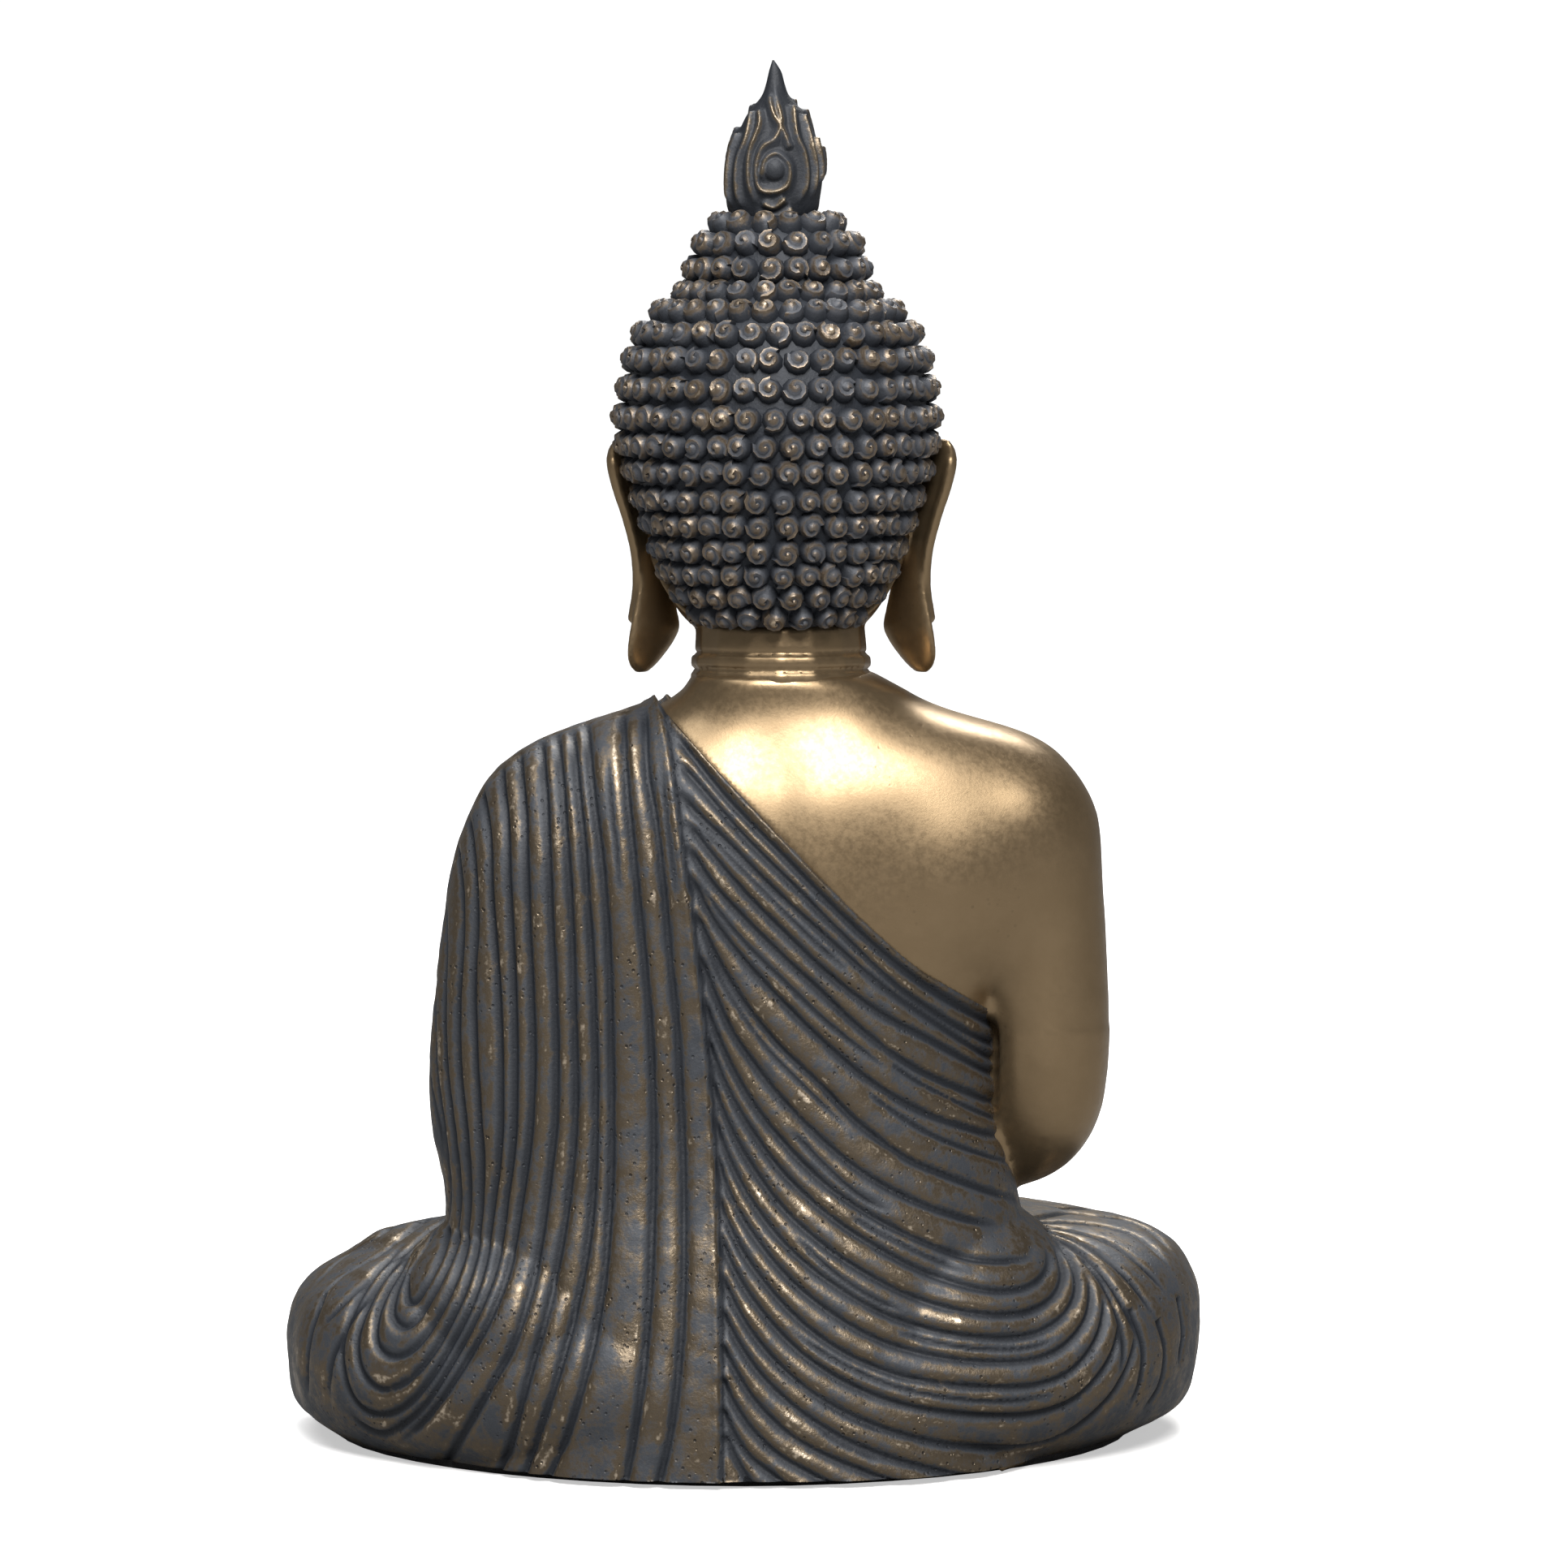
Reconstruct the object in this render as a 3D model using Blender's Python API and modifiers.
"""Seated meditation figure in hollow cast resin, built up from bonded castings on a closing board.

Metres, +Z up. The figure faces -Y, so its own left hand is at +X. The origin is the middle of the
bounding box on the surface that the figure stands on.
"""
import math

import bmesh
import bpy
from mathutils import Matrix, Vector

# Driving dimensions, each written once.
SEAT_WIDTH = 0.266  # knee to knee
SEAT_DEPTH = 0.176  # back hem to the front of the shins
SEAT_HEIGHT = 0.070  # top of the folded legs
BASE_ROUNDNESS = 1.9  # 2 is an ellipse, and more is squarer
TORSO_TOP = 0.2195  # joint under the neck rings
TORSO_REACH = 0.0965  # torso axis to the draped left elbow
TORSO_DEPTH = 0.084
ARM_RADIUS = 0.0180  # right upper arm at its middle
HEAD_HEIGHT = 0.136  # neck joint to the crown of the hair
HEAD_WIDTH = 0.0936  # over the hair
HEAD_DEPTH = 0.100  # over the hair and the forehead
EAR_LENGTH = 0.069
EAR_THICKNESS = 0.0052
FINIAL_HEIGHT = 0.0445
FINIAL_WIDTH = 0.0304
FINIAL_DEPTH = 0.0200
CASTING_WALL = 0.0060
LAP_THICKNESS = 0.0200  # solid part of the lap under the feet
PAD_THICKNESS = 0.0020
PAD_INSET = 0.0015
BOARD_THICKNESS = 0.0040
DOWEL_RADIUS = 0.0060
DOWEL_LENGTH = 0.044
PIN_RADIUS = 0.0020
PIN_LENGTH = 0.024
STOPPER_RADIUS = 0.0090
FINGER_RADIUS = 0.0031
PALM_SHARE = 1.60  # half thickness of a palm in finger radii
FOOT_LENGTH = 0.058
GAP = 0.0003  # glue line between two castings
FIT = 0.0002  # clearance round a dowel or pin

# Where the upright pieces stand over the seat.
TORSO_AXIS = Vector((-0.0065, 0.026, 0))
HEAD_AXIS = Vector((-0.0095, 0.024, 0))
WIDEST_Y = -0.008  # the folded legs are widest here

# Coarse sizes of the blended surfaces.
FIGURE_VOXEL = 0.0042
SMALL_VOXEL = 0.0021

# Folded legs: height in seat heights, then left, right in half widths and back, front in half depths.
SEAT_PROFILE = (
    (0.00, 0.917, 0.862, 0.955, 0.90),
    (0.16, 0.965, 0.935, 0.985, 0.92),
    (0.46, 0.985, 0.985, 0.960, 0.86),
    (0.70, 0.925, 0.960, 0.860, 0.76),
    (0.80, 0.842, 0.925, 0.800, 0.70),
    (0.90, 0.744, 0.850, 0.690, 0.64),
    (0.96, 0.660, 0.750, 0.570, 0.58),
    (1.00, 0.450, 0.450, 0.400, 0.40),
)
# Torso: height in torso heights, then left, right in torso reaches and back, front in half depths.
TORSO_PROFILE = (
    (0.000, 0.953, 0.829, 1.35, 1.00),
    (0.137, 0.964, 0.810, 1.27, 1.00),
    (0.273, 0.958, 0.767, 1.12, 0.95),
    (0.351, 0.958, 0.745, 1.05, 0.90),
    (0.437, 1.000, 0.705, 1.00, 0.88),
    (0.524, 1.000, 0.695, 0.97, 0.88),
    (0.620, 0.982, 0.705, 0.96, 0.92),
    (0.706, 0.958, 0.745, 0.96, 0.98),
    (0.779, 0.922, 0.800, 0.93, 1.00),
    (0.834, 0.874, 0.830, 0.86, 0.95),
    (0.884, 0.812, 0.815, 0.76, 0.84),
    (0.916, 0.720, 0.780, 0.66, 0.72),
    (0.948, 0.580, 0.660, 0.56, 0.58),
    (0.966, 0.480, 0.560, 0.54, 0.54),
    (0.977, 0.330, 0.460, 0.54, 0.55),
    (1.000, 0.245, 0.330, 0.55, 0.64),
)
# Skull and neck: height in head heights, then half width in half head widths, back and front in half
# head depths. The hair cap and its curls stand outside this.
SKULL_PROFILE = (
    (0.000, 0.560, 0.52, 0.52),
    (0.055, 0.530, 0.50, 0.50),
    (0.100, 0.560, 0.52, 0.66),
    (0.150, 0.630, 0.56, 0.80),
    (0.230, 0.720, 0.66, 0.86),
    (0.330, 0.800, 0.78, 0.88),
    (0.450, 0.860, 0.86, 0.88),
    (0.600, 0.890, 0.88, 0.87),
    (0.700, 0.840, 0.84, 0.80),
    (0.780, 0.740, 0.74, 0.68),
    (0.840, 0.520, 0.52, 0.48),
    (0.870, 0.250, 0.25, 0.22),
)
# Hair cap with its crown dome, in the same units.
HAIR_PROFILE = (
    (0.090, 0.660, 0.62, 0.60),
    (0.165, 0.700, 0.67, 0.60),
    (0.255, 0.780, 0.77, 0.70),
    (0.340, 0.830, 0.87, 0.80),
    (0.430, 0.940, 0.95, 0.88),
    (0.545, 1.000, 1.00, 0.96),
    (0.615, 0.996, 1.00, 0.97),
    (0.700, 0.945, 0.95, 0.92),
    (0.770, 0.860, 0.86, 0.82),
    (0.815, 0.715, 0.72, 0.68),
    (0.850, 0.595, 0.59, 0.56),
    (0.890, 0.555, 0.54, 0.52),
    (0.965, 0.480, 0.47, 0.45),
    (1.000, 0.300, 0.30, 0.28),
)
# Flame: height in finial heights, half width and half depth in their own halves.
FINIAL_PROFILE = (
    (0.00, 0.92, 0.85),
    (0.12, 0.97, 0.95),
    (0.26, 1.00, 1.00),
    (0.42, 0.95, 0.98),
    (0.60, 0.72, 0.80),
    (0.72, 0.50, 0.62),
    (0.78, 0.28, 0.46),
    (0.90, 0.17, 0.28),
    (1.00, 0.05, 0.08),
)
# Ear from lobe to top: height in ear lengths, distance out from the head axis in half head widths,
# front-to-back half length and thickness in ear thicknesses.
EAR_PROFILE = (
    (0.00, 0.955, 0.45, 0.40),
    (0.07, 0.930, 0.95, 0.80),
    (0.20, 0.885, 1.15, 0.95),
    (0.40, 0.865, 1.15, 0.75),
    (0.60, 0.905, 1.55, 0.70),
    (0.80, 0.965, 1.95, 0.75),
    (0.93, 1.035, 1.75, 0.75),
    (1.00, 1.050, 0.70, 0.45),
)
# Hem of the robe across the back and chest, left neck to right armpit, in torso reaches and heights.
NECKLINE = ((0.285, 0.975), (0.181, 0.910), (0.036, 0.835), (-0.136, 0.755),
            (-0.280, 0.696), (-0.455, 0.642), (-0.690, 0.572), (-0.900, 0.540))


def material(name, colour, roughness, metallic):
    """A plain finish for one kind of surface."""
    made = bpy.data.materials.new(name)
    made.use_nodes = True
    shader = made.node_tree.nodes["Principled BSDF"]
    shader.inputs["Base Color"].default_value = (*colour, 1)
    shader.inputs["Roughness"].default_value = roughness
    shader.inputs["Metallic"].default_value = metallic
    return made


def new_object(name, mesh, collection):
    made = bpy.data.objects.new(name, mesh)
    collection.objects.link(made)
    return made


def applied(obj, name=None):
    """The object with its modifiers and its place worked into its mesh."""
    bpy.context.view_layer.update()
    graph = bpy.context.evaluated_depsgraph_get()
    mesh = bpy.data.meshes.new_from_object(obj.evaluated_get(graph), depsgraph=graph)
    mesh.transform(obj.matrix_world)
    made = new_object(name or obj.name, mesh, helpers)
    bpy.data.objects.remove(obj)
    made.name = name or made.name
    return made


def ring(axis, height, left, right, back, front, power=2.5, sides=40):
    """A rounded outline at one height, with its own reach to each of the four sides."""
    points = []
    for k in range(sides):
        turn = 2 * math.pi * k / sides
        across, along = math.cos(turn), math.sin(turn)
        x = math.copysign(abs(across) ** (2 / power), across) * (left if across > 0 else right)
        y = math.copysign(abs(along) ** (2 / power), along) * (back if along > 0 else front)
        points.append(Vector((axis[0] + x, axis[1] + y, height)))
    return points


def loft(name, rings):
    """A closed skin over a stack of outlines, lowest first."""
    shape = bmesh.new()
    levels = [[shape.verts.new(point) for point in points] for points in rings]
    sides = len(levels[0])
    for low, high in zip(levels, levels[1:]):
        for k in range(sides):
            n = (k + 1) % sides
            shape.faces.new((low[k], low[n], high[n], high[k]))
    shape.faces.new(list(reversed(levels[0])))
    shape.faces.new(levels[-1])
    bmesh.ops.recalc_face_normals(shape, faces=shape.faces)
    mesh = bpy.data.meshes.new(name)
    shape.to_mesh(mesh)
    shape.free()
    return new_object(name, mesh, helpers)


def limb(name, stations):
    """A round limb through (x, y, z, radius) stations, with domed ends."""
    line = bpy.data.curves.new(name, "CURVE")
    line.dimensions = "3D"
    line.bevel_depth = 1
    line.bevel_resolution = 3
    line.use_fill_caps = True
    spline = line.splines.new("POLY")
    spline.points.add(len(stations) - 1)
    for point, (x, y, z, radius) in zip(spline.points, stations):
        point.co = (x, y, z, 1)
        point.radius = radius
    pieces = [applied(new_object(name, line, helpers))]
    for x, y, z, radius in stations:
        bpy.ops.mesh.primitive_uv_sphere_add(segments=16, ring_count=10, radius=radius, location=(x, y, z))
        pieces.append(applied(bpy.context.object, name + "_joint"))
    return joined(name, pieces)


def ball(name, centre, reach, turn=0.0):
    """An ellipsoid with its own reach along each axis, turned about +Z."""
    bpy.ops.mesh.primitive_uv_sphere_add(segments=20, ring_count=12, radius=1, location=centre)
    made = bpy.context.object
    made.scale = reach
    made.rotation_euler = (0, 0, turn)
    return applied(made, name)


def cylinder(name, centre, radius, low, high, sides=28):
    bpy.ops.mesh.primitive_cylinder_add(vertices=sides, radius=radius, depth=high - low,
                                        location=(centre[0], centre[1], (low + high) / 2))
    return applied(bpy.context.object, name)


def extruded(name, outline, half, across):
    """A flat outline given a thickness: along Y for a view of the back, along X for a view of the side."""
    flat = bpy.data.curves.new(name, "CURVE")
    flat.dimensions = "2D"
    flat.fill_mode = "BOTH"
    flat.extrude = half
    spline = flat.splines.new("POLY")
    spline.points.add(len(outline) - 1)
    for point, (u, v) in zip(spline.points, outline):
        point.co = (u, v, 0, 1)
    spline.use_cyclic_u = True
    made = new_object(name, flat, helpers)
    made.rotation_euler = (math.pi / 2, 0, 0) if across == "Y" else (math.pi / 2, 0, math.pi / 2)
    made = applied(made)
    shape = bmesh.new()
    shape.from_mesh(made.data)
    bmesh.ops.remove_doubles(shape, verts=shape.verts, dist=1e-5)
    bmesh.ops.recalc_face_normals(shape, faces=shape.faces)
    shape.to_mesh(made.data)
    shape.free()
    return made


def joined(name, pieces):
    """Several overlapping meshes in one object, for a voxel blend to unite."""
    for other in bpy.context.selected_objects:
        other.select_set(False)
    for piece in pieces:
        piece.select_set(True)
    bpy.context.view_layer.objects.active = pieces[0]
    if len(pieces) > 1:
        bpy.ops.object.join()
    pieces[0].name = name
    return pieces[0]


def blended(name, pieces, voxel, keep, smoothing=4):
    """One closed organic surface over overlapping pieces, thinned to a share of its faces."""
    made = joined(name, pieces)
    remesh = made.modifiers.new("blend", "REMESH")
    remesh.mode = "VOXEL"
    remesh.voxel_size = voxel
    relax = made.modifiers.new("relax", "SMOOTH")
    relax.factor = 0.5
    relax.iterations = smoothing
    thin = made.modifiers.new("thin", "DECIMATE")
    thin.ratio = keep
    return applied(made, name)


def grown(obj, distance):
    """A copy whose surface stands off by a distance, to cut a neighbour with room for the glue."""
    made = new_object(obj.name + "_grown", obj.data.copy(), helpers)
    stand_off = made.modifiers.new("stand_off", "DISPLACE")
    stand_off.strength = distance
    stand_off.mid_level = 0
    return applied(made)


def combined(obj, other, operation):
    """The object after a Boolean with another one, which is kept."""
    change = obj.modifiers.new(operation, "BOOLEAN")
    change.operation = operation
    change.object = other
    change.solver = "EXACT"
    return applied(obj)


def cut(obj, *others):
    for other in others:
        obj = combined(obj, other, "DIFFERENCE")
    return obj


def largest_piece(obj):
    """Drops the crumbs that a cut through a curved surface can leave."""
    shape = bmesh.new()
    shape.from_mesh(obj.data)
    bmesh.ops.remove_doubles(shape, verts=shape.verts, dist=1e-6)
    left, islands = set(shape.verts), []
    while left:
        island, edge = set(), [left.pop()]
        while edge:
            vertex = edge.pop()
            island.add(vertex)
            near = {e.other_vert(vertex) for e in vertex.link_edges} - island
            edge.extend(near & left)
            left -= near
        islands.append(island)
    islands.sort(key=len, reverse=True)
    bmesh.ops.delete(shape, geom=[v for island in islands[1:] for v in island], context="VERTS")
    shape.to_mesh(obj.data)
    shape.free()
    return obj


def seat_rings(inset=0.0, low=0.0, lap=0.0):
    """Outlines of the folded legs, drawn in by an inset for the hollow under the lap."""
    for height, left, right, back, front in SEAT_PROFILE:
        z = max(low, height * (SEAT_HEIGHT - lap))
        half_width, half_depth = SEAT_WIDTH / 2 - inset, SEAT_DEPTH / 2 - inset
        yield ring((0, WIDEST_Y), z, left * half_width, right * half_width,
                   back * half_depth - WIDEST_Y, front * half_depth + WIDEST_Y,
                   power=min(2.5, BASE_ROUNDNESS + 2.0 * height))


def torso_rings(inset=0.0, low=0.0, top=1.0):
    """Outlines of the upright body up to a share of its height."""
    for height, left, right, back, front in TORSO_PROFILE:
        if height > top:
            break
        half_depth = TORSO_DEPTH / 2
        yield ring(TORSO_AXIS, max(low, height * TORSO_TOP - inset), left * TORSO_REACH - inset,
                   right * TORSO_REACH - inset, back * half_depth - inset, front * half_depth - inset)


def head_rings(profile, inset=0.0):
    """Outlines of the skull or the hair over the neck joint."""
    for height, width, back, front in profile:
        half_width, half_depth = HEAD_WIDTH / 2, HEAD_DEPTH / 2
        yield ring(HEAD_AXIS, TORSO_TOP + height * HEAD_HEIGHT, width * half_width - inset,
                   width * half_width - inset, back * half_depth - inset, front * half_depth - inset,
                   power=2.1, sides=32)


def right_arm_stations():
    """Shoulder, elbow and wrist of the bare arm, whose hand lies in the lap."""
    shoulder = TORSO_TOP * 0.825
    wrist = SEAT_HEIGHT + 0.0105
    x = TORSO_AXIS.x - TORSO_REACH
    return [
        (x + 0.023, 0.034, shoulder, ARM_RADIUS * 1.25),
        (x + 0.0175, 0.033, shoulder * 0.885, ARM_RADIUS * 1.08),
        (x + 0.016, 0.032, shoulder * 0.745, ARM_RADIUS),
        (x + 0.0165, 0.029, shoulder * 0.62, ARM_RADIUS),
        (x + 0.020, 0.021, shoulder * 0.53, ARM_RADIUS * 0.92),
        (x + 0.033, 0.001, wrist + 0.0075, ARM_RADIUS * 0.78),
        (x + 0.049, -0.020, wrist + 0.0050, ARM_RADIUS * 0.64),
        (x + 0.060, -0.034, wrist + 0.0040, ARM_RADIUS * 0.50),
    ]


def left_sleeve_stations():
    """The draped left arm: its upper part is inside the torso's outline, its forearm comes forward."""
    wrist = SEAT_HEIGHT + 0.0085
    x = TORSO_AXIS.x + TORSO_REACH
    return [
        (x - 0.022, 0.026, TORSO_TOP * 0.62, 0.0180),
        (x - 0.022, 0.018, TORSO_TOP * 0.45, 0.0185),
        (x - 0.034, -0.002, wrist + 0.010, 0.0170),
        (x - 0.048, -0.019, wrist + 0.004, 0.0145),
        (x - 0.055, -0.027, wrist + 0.002, 0.0130),
    ]


def shin_stations(side, foot_height):
    """A folded leg from its knee across the front, on the left (+1) or the right (-1)."""
    knee = SEAT_WIDTH / 2 - 0.031
    front = -SEAT_DEPTH / 2
    return [
        (side * (knee - 0.020), 0.010, 0.0345, 0.0300),
        (side * knee, -0.022, 0.0340, 0.0308),
        (side * knee * 0.55, front + 0.030, 0.0310, 0.0275),
        (0, front + 0.0225, 0.0250, 0.0222),
        (-side * knee * 0.42, front + 0.031, foot_height, 0.0175),
    ]


def hand(name, side, palm, thumb_rise):
    """A hand lying palm up in the lap, its fingers across the body and its thumb in front."""
    x, y, z = palm
    size = FINGER_RADIUS
    pieces = [ball(name, palm, (5.6 * size, 4.3 * size, PALM_SHARE * size)),
              limb(name, [(x + side * 9.4 * size, y + 4.6 * size, z + 0.6 * size, 2.30 * size),
                          (x + side * 6.0 * size, y + 2.2 * size, z + 0.5 * size, 2.15 * size),
                          (x + side * 3.0 * size, y + 0.6 * size, z + 0.2 * size, 1.70 * size)])]
    for n in range(4):
        across = y + (n - 1.5) * 2.1 * size
        reach = (8.4, 9.1, 8.6, 7.2)[n] * size
        pieces.append(limb(name, [(x - side * 3.2 * size, across, z, size),
                                  (x - side * (3.2 * size + 0.55 * reach), across, z + 0.1 * size, size),
                                  (x - side * (3.2 * size + reach), across, z, 0.88 * size)]))
    front = y - 5.0 * size
    pieces.append(limb(name, [(x + side * 3.4 * size, front + 1.4 * size, z + 0.2 * size, 1.5 * size),
                              (x + side * 0.2 * size, front, z + 0.45 * thumb_rise, 1.15 * size),
                              (x - side * 2.6 * size, front, z + thumb_rise, 0.95 * size)]))
    return blended(name, pieces, SMALL_VOXEL * 0.75, 0.15, smoothing=2)


def foot(name, side, heel, turn):
    """A foot lying sole up on the opposite thigh, heel towards the belly."""
    along = Vector((side * math.cos(turn), math.sin(turn), 0))
    across = Vector((-along.y, along.x, 0))
    heel = Vector(heel)
    pieces = [limb(name, [(*heel, 0.0092),
                          (*(heel + along * FOOT_LENGTH * 0.30), 0.0080),
                          (*(heel + along * FOOT_LENGTH * 0.62), 0.0084)]),
              ball(name, heel + along * FOOT_LENGTH * 0.63, (0.0115, 0.0115, 0.0068))]
    for n in range(5):
        root = heel + along * FOOT_LENGTH * 0.68 + across * (n - 2) * 0.0046
        tip = root + along * FOOT_LENGTH * (0.28 - 0.035 * n)
        pieces.append(limb(name, [(*root, 0.0040), (*tip, (0.0036, 0.0030, 0.0029, 0.0027, 0.0025)[n])]))
    return blended(name, pieces, SMALL_VOXEL, 0.22, smoothing=2)


def neckline_outline(drop=0.0):
    """The bare side of the robe's hem, seen from behind, down by a drop."""
    hem = [(TORSO_AXIS.x + x * TORSO_REACH, z * TORSO_TOP - drop) for x, z in NECKLINE]
    high = TORSO_TOP + 0.05
    edge = hem[0][0] + drop
    return [(edge, high), (edge, hem[0][1]), *hem[1:], (hem[-1][0] - 0.05, hem[-1][1]), (hem[-1][0] - 0.05, high)]


def hairline_outline():
    """The face and neck side of the hair's edge, seen from the side."""
    base, head = TORSO_TOP, HEAD_HEIGHT
    y, half = HEAD_AXIS.y, HEAD_DEPTH / 2
    return [(y - 3 * half, base + 0.625 * head), (y - 0.90 * half, base + 0.625 * head),
            (y - 0.55 * half, base + 0.585 * head), (y - 0.18 * half, base + 0.530 * head),
            (y + 0.02 * half, base + 0.400 * head), (y + 0.28 * half, base + 0.260 * head),
            (y + 0.44 * half, base + 0.135 * head), (y + 2.00 * half, base + 0.115 * head),
            (y + 2.00 * half, base - 0.1 * head),
            (y - 3 * half, base - 0.1 * head)]


def ear(name, side, skull, hair):
    """A long pierced-style ear that flares away from the head towards its lobe and its top."""
    foot_z = TORSO_TOP + 0.048 * HEAD_HEIGHT
    rings = []
    for height, out, length, thickness in EAR_PROFILE:
        middle = (HEAD_AXIS.x + side * out * HEAD_WIDTH / 2, HEAD_AXIS.y - 0.012 + 0.006 * height)
        rings.append(ring(middle, foot_z + height * EAR_LENGTH, thickness * EAR_THICKNESS,
                          thickness * EAR_THICKNESS, length * EAR_THICKNESS, length * EAR_THICKNESS,
                          power=2.2, sides=16))
    root = [ring((HEAD_AXIS.x + side * (0.70 + 0.14 * share) * HEAD_WIDTH / 2, HEAD_AXIS.y - 0.012),
                 foot_z + (0.35 + 0.55 * share) * EAR_LENGTH, 0.010, 0.010, 0.0045, 0.0045, sides=16)
            for share in (0.0, 0.5, 1.0)]
    made = blended(name, [loft(name, rings), loft(name, root)], SMALL_VOXEL, 0.24, smoothing=2)
    return largest_piece(cut(made, skull, hair))


def finial():
    """The flame on the crown, flattened from front to back."""
    base = TORSO_TOP + HEAD_HEIGHT + GAP
    rings = [ring(HEAD_AXIS + Vector((0.0012 * height, 0, 0)), base + height * FINIAL_HEIGHT,
                  width * FINIAL_WIDTH / 2, width * FINIAL_WIDTH / 2, depth * FINIAL_DEPTH / 2,
                  depth * FINIAL_DEPTH / 2, power=2.2, sides=24)
             for height, width, depth in FINIAL_PROFILE]
    return loft("flame_finial", rings)


def base_outline(inset):
    """Outline of the opening's rim under the seat."""
    height, left, right, back, front = SEAT_PROFILE[0]
    half_width, half_depth = SEAT_WIDTH / 2, SEAT_DEPTH / 2
    return (left * half_width - inset, right * half_width - inset,
            back * half_depth - WIDEST_Y - inset, front * half_depth + WIDEST_Y - inset)


def flat_piece(name, inset, low, high):
    reach = base_outline(inset)
    return loft(name, [ring((0, WIDEST_Y), z, *reach, power=BASE_ROUNDNESS, sides=48) for z in (low, high)])


def finished(obj, name, finish, edge=math.radians(40)):
    """Moves a piece into the statue's collection under its own name, with its finish and shading."""
    obj.name = name
    for owner in list(obj.users_collection):
        owner.objects.unlink(obj)
    statue.objects.link(obj)
    obj.data.materials.clear()
    obj.data.materials.append(finish)
    for polygon in obj.data.polygons:
        polygon.material_index = 0
    obj.data.shade_smooth()
    obj.data.set_sharp_from_angle(angle=edge)
    return obj


def build():
    """Makes every piece of the statue, largest first."""
    gold = material("gold_skin", (0.36, 0.25, 0.13), 0.38, 0.85)
    patina = material("patina_robe", (0.16, 0.17, 0.18), 0.50, 0.35)
    hair_finish = material("patina_hair", (0.14, 0.15, 0.17), 0.42, 0.40)
    black = material("black_felt", (0.015, 0.015, 0.016), 0.95, 0.0)
    grey = material("closing_board", (0.20, 0.18, 0.16), 0.80, 0.0)
    wood = material("beech_dowel", (0.55, 0.38, 0.22), 0.60, 0.0)
    steel = material("steel_pin", (0.55, 0.55, 0.56), 0.35, 1.0)
    rubber = material("rubber_stopper", (0.03, 0.03, 0.03), 0.80, 0.0)

    floor_top = PAD_THICKNESS + GAP
    board_low = floor_top
    board_high = board_low + BOARD_THICKNESS
    board_inset = CASTING_WALL + GAP

    # The whole figure without its bare arm, then the hollow inside it.
    shins = [limb("shin", shin_stations(1, 0.040)), limb("shin", shin_stations(-1, 0.048))]
    figure = blended("figure", [loft("torso", list(torso_rings())), loft("seat", list(seat_rings())),
                                limb("sleeve", left_sleeve_stations()), *shins], FIGURE_VOXEL, 0.13)
    # The hollow's roof stays a wall below the seat, and its upper part a wall inside the torso.
    well = flat_piece("well", CASTING_WALL, -0.01, board_high + GAP)
    seat_hollow = loft("seat_hollow", list(seat_rings(CASTING_WALL + 0.003, low=board_low, lap=LAP_THICKNESS)))
    torso_hollow = loft("torso_hollow", list(torso_rings(CASTING_WALL + 0.004, low=board_low, top=0.84)))
    hollow = blended("hollow", [seat_hollow, torso_hollow], FIGURE_VOXEL * 1.8, 0.22)

    # Bare torso above the robe's hem, robe below it.
    bare_side = extruded("bare_side", neckline_outline(), 0.2, "Y")
    robe_side = extruded("robe_side", neckline_outline(GAP), 0.2, "Y")
    x, y, z, radius = right_arm_stations()[0]
    skin = blended("skin", [loft("torso", list(torso_rings())), ball("shoulder", (x, y, z), (radius,) * 3)],
                   FIGURE_VOXEL, 0.18)
    arm = blended("arm", [limb("arm", right_arm_stations())], FIGURE_VOXEL * 0.7, 0.16)

    dowel_low = TORSO_TOP - DOWEL_LENGTH / 2
    dowel_bore = cylinder("dowel_bore", HEAD_AXIS, DOWEL_RADIUS + FIT, dowel_low - 0.004,
                          TORSO_TOP + DOWEL_LENGTH / 2 + 0.001)
    neck_seat = cylinder("neck_seat", HEAD_AXIS, SEAT_WIDTH, TORSO_TOP - GAP / 2, TORSO_TOP + 0.1)

    foot_z = SEAT_HEIGHT * 0.92
    feet = [foot("left_foot", -1, (-0.030, -0.048, foot_z), math.radians(34)),
            foot("right_foot", 1, (0.024, -0.050, foot_z), math.radians(34))]
    left_z = SEAT_HEIGHT + 1.25 * FINGER_RADIUS
    right_z = left_z + 2.15 * PALM_SHARE * FINGER_RADIUS + GAP
    # The palms stand so far apart that the thumbs' tips stay clear of each other.
    hands_apart = 3.70 * FINGER_RADIUS
    left_hand = hand("left_hand", 1, (TORSO_AXIS.x + hands_apart, -0.050, left_z), 5.6 * FINGER_RADIUS)
    right_hand = hand("right_hand", -1, (TORSO_AXIS.x - hands_apart, -0.050, right_z),
                      5.6 * FINGER_RADIUS + left_z - right_z)

    # Every cutter is a whole smooth shape, taken before its own cuts.
    foot_beds = [grown(piece, GAP) for piece in feet]
    around_arm, around_figure = grown(arm, GAP), grown(figure, GAP)
    around_left_hand = grown(left_hand, GAP)
    arm = largest_piece(cut(arm, grown(skin, GAP), around_figure, *foot_beds))
    right_hand = largest_piece(cut(right_hand, around_figure, around_arm, around_left_hand, *foot_beds))
    left_hand = largest_piece(cut(left_hand, around_figure, around_arm, *foot_beds))
    figure = cut(figure, cylinder("under", (0, 0), SEAT_WIDTH, -0.05, floor_top))
    robe = largest_piece(cut(figure, robe_side, well, hollow, *foot_beds))
    torso = combined(skin, bare_side, "INTERSECT")
    torso = largest_piece(cut(torso, hollow, neck_seat, dowel_bore))

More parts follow.
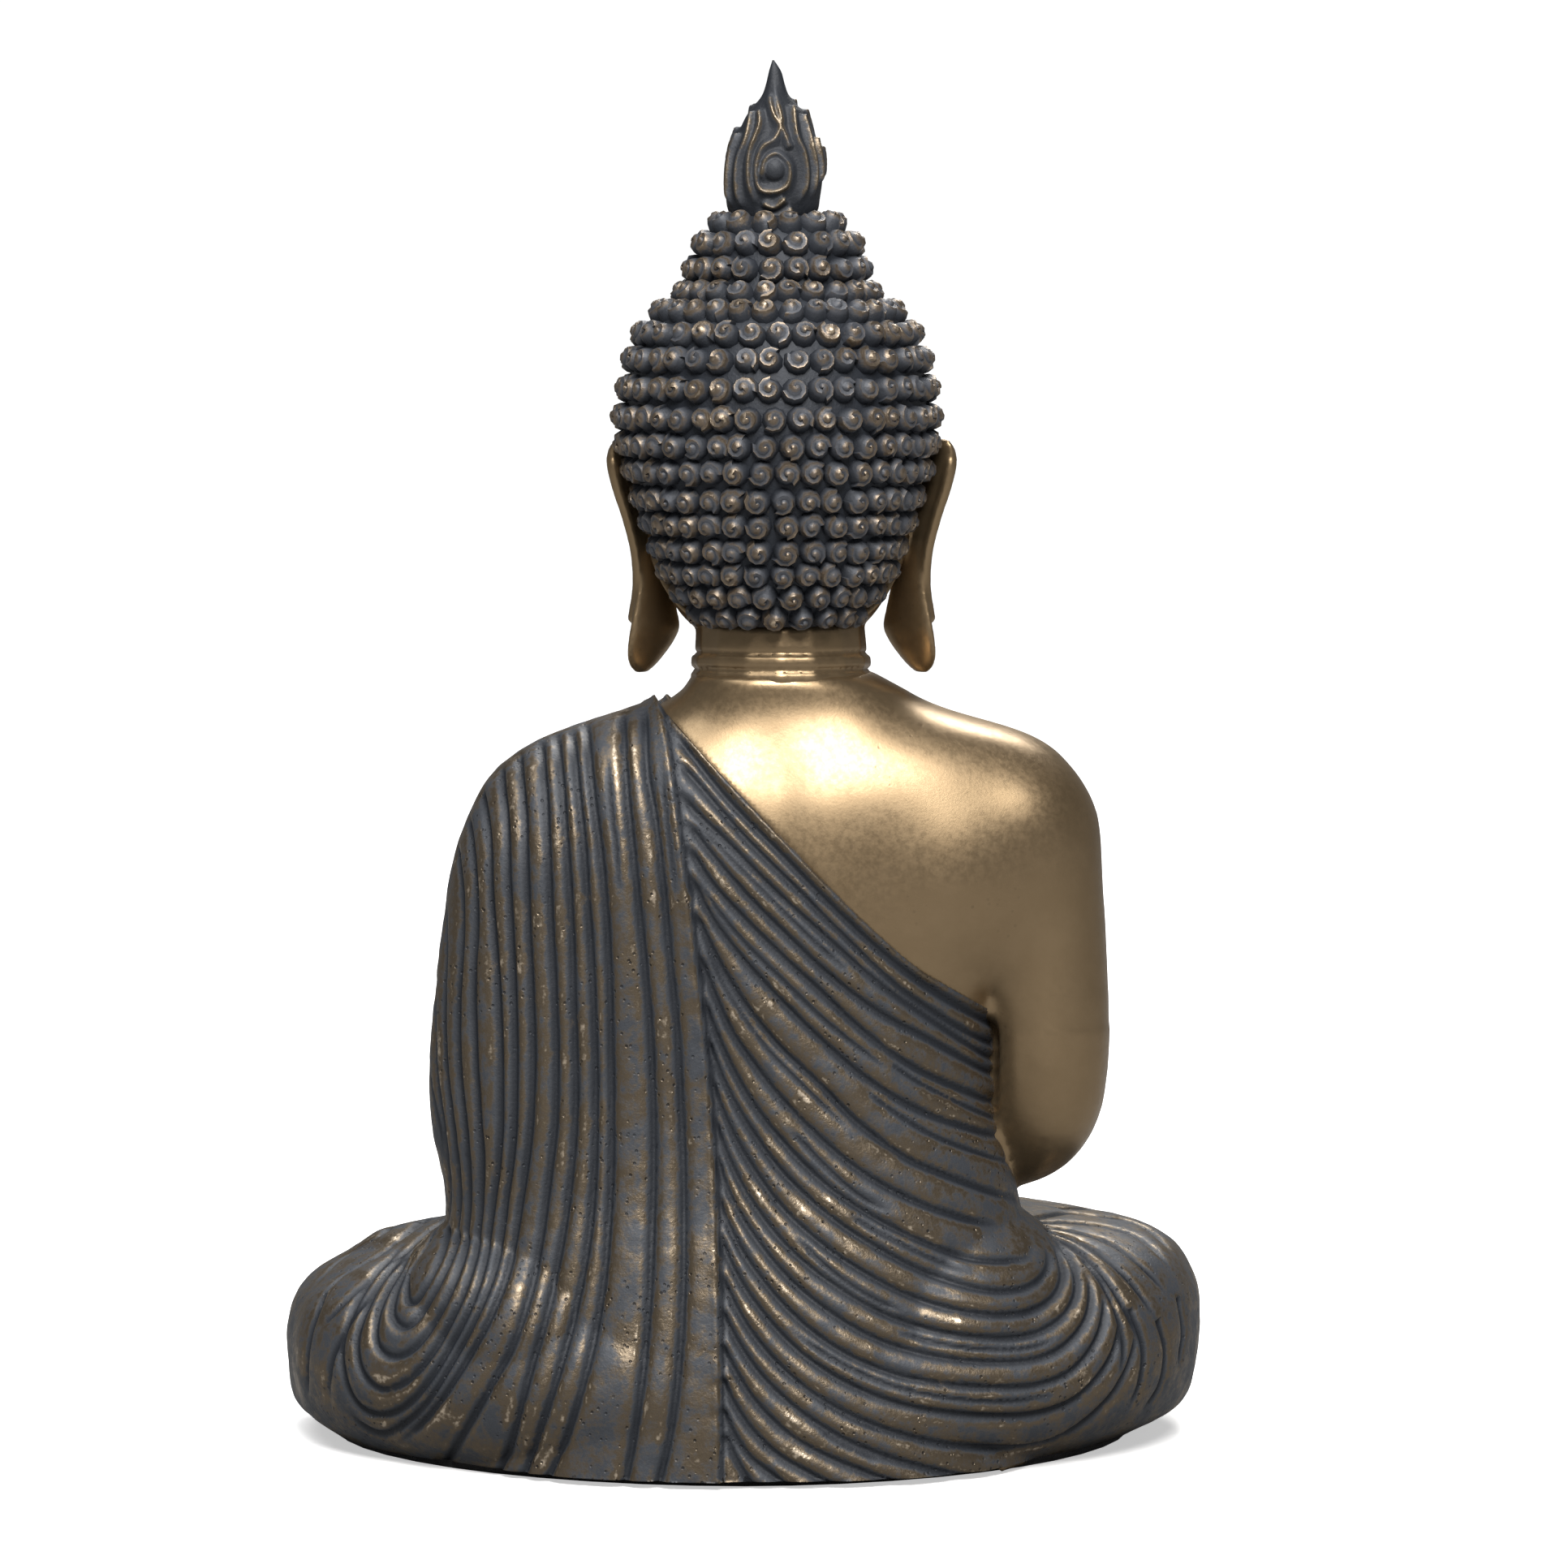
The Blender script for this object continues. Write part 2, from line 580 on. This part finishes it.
    # Head, hair and what stands on them.
    nose = limb("nose", [(HEAD_AXIS.x, HEAD_AXIS.y - 0.46 * HEAD_DEPTH, TORSO_TOP + 0.52 * HEAD_HEIGHT, 0.0030),
                         (HEAD_AXIS.x, HEAD_AXIS.y - 0.50 * HEAD_DEPTH, TORSO_TOP + 0.37 * HEAD_HEIGHT, 0.0050)])
    skull = blended("skull", [loft("skull", list(head_rings(SKULL_PROFILE))), nose], SMALL_VOXEL * 1.6, 0.13)
    head_low = cylinder("head_low", HEAD_AXIS, SEAT_WIDTH, TORSO_TOP - 0.1, TORSO_TOP + GAP / 2)
    head_hollow = loft("head_hollow", list(head_rings(SKULL_PROFILE[3:-1], CASTING_WALL)))
    skull = largest_piece(cut(skull, head_low))
    hair = loft("hair", list(head_rings(HAIR_PROFILE)))
    face_side = extruded("face_side", hairline_outline(), HEAD_WIDTH, "X")
    pin_middle = TORSO_TOP + HEAD_HEIGHT
    pin_bore = cylinder("pin_bore", HEAD_AXIS, PIN_RADIUS + FIT, pin_middle - PIN_LENGTH / 2 - 0.001,
                        pin_middle + PIN_LENGTH / 2 + 0.001, sides=16)
    hair = largest_piece(cut(hair, face_side, grown(skull, GAP), pin_bore))
    ears = [ear("left_ear", 1, grown(skull, GAP), grown(hair, GAP)),
            ear("right_ear", -1, grown(skull, GAP), grown(hair, GAP))]
    skull = cut(skull, head_hollow, dowel_bore)
    flame = cut(finial(), pin_bore)

    # Underside.
    board = flat_piece("board", board_inset, board_low, board_high)
    stopper_bore = cylinder("stopper_bore", (0, 0), STOPPER_RADIUS + GAP, -0.01, 0.02)
    board = cut(board, stopper_bore)
    stopper = cylinder("stopper", (0, 0), STOPPER_RADIUS, board_low, board_high)
    pad = flat_piece("pad", PAD_INSET, 0.0, PAD_THICKNESS)
    dowel = cylinder("dowel", HEAD_AXIS, DOWEL_RADIUS, dowel_low, dowel_low + DOWEL_LENGTH)
    pin = cylinder("pin", HEAD_AXIS, PIN_RADIUS, pin_middle - PIN_LENGTH / 2, pin_middle + PIN_LENGTH / 2, sides=16)

    for piece, name, finish in (
            (robe, "robe_body_shell", patina), (torso, "bare_torso_shell", gold), (arm, "right_arm", gold),
            (right_hand, "right_hand", gold), (left_hand, "left_hand", gold), (feet[0], "left_foot", gold),
            (feet[1], "right_foot", gold), (skull, "head", gold), (ears[0], "left_ear", gold),
            (ears[1], "right_ear", gold), (hair, "hair_cap", hair_finish), (flame, "flame_finial", hair_finish),
            (dowel, "neck_dowel", wood), (pin, "finial_pin", steel), (board, "closing_board", grey),
            (stopper, "fill_hole_stopper", rubber), (pad, "felt_base_pad", black)):
        finished(piece, name, finish)


def settle():
    """Centres the finished statue's box over the origin, and stands it on z = 0."""
    bpy.context.view_layer.update()
    corners = [obj.matrix_world @ Vector(c) for obj in statue.objects for c in obj.bound_box]
    low = Vector(min(c[i] for c in corners) for i in range(3))
    high = Vector(max(c[i] for c in corners) for i in range(3))
    shift = Matrix.Translation((-(low.x + high.x) / 2, -(low.y + high.y) / 2, -low.z))
    for obj in statue.objects:
        obj.data.transform(shift)
    print("statue", [round(v, 4) for v in high - low], "moved", [round(v, 4) for v in shift.translation])


for old in list(bpy.data.objects):
    bpy.data.objects.remove(old)
statue = bpy.data.collections.new("seated_figure")
helpers = bpy.data.collections.new("cutters_and_guides")
bpy.context.scene.collection.children.link(statue)
bpy.context.scene.collection.children.link(helpers)
build()
settle()
for helper in helpers.objects:
    helper.hide_render = True
    helper.display_type = "WIRE"
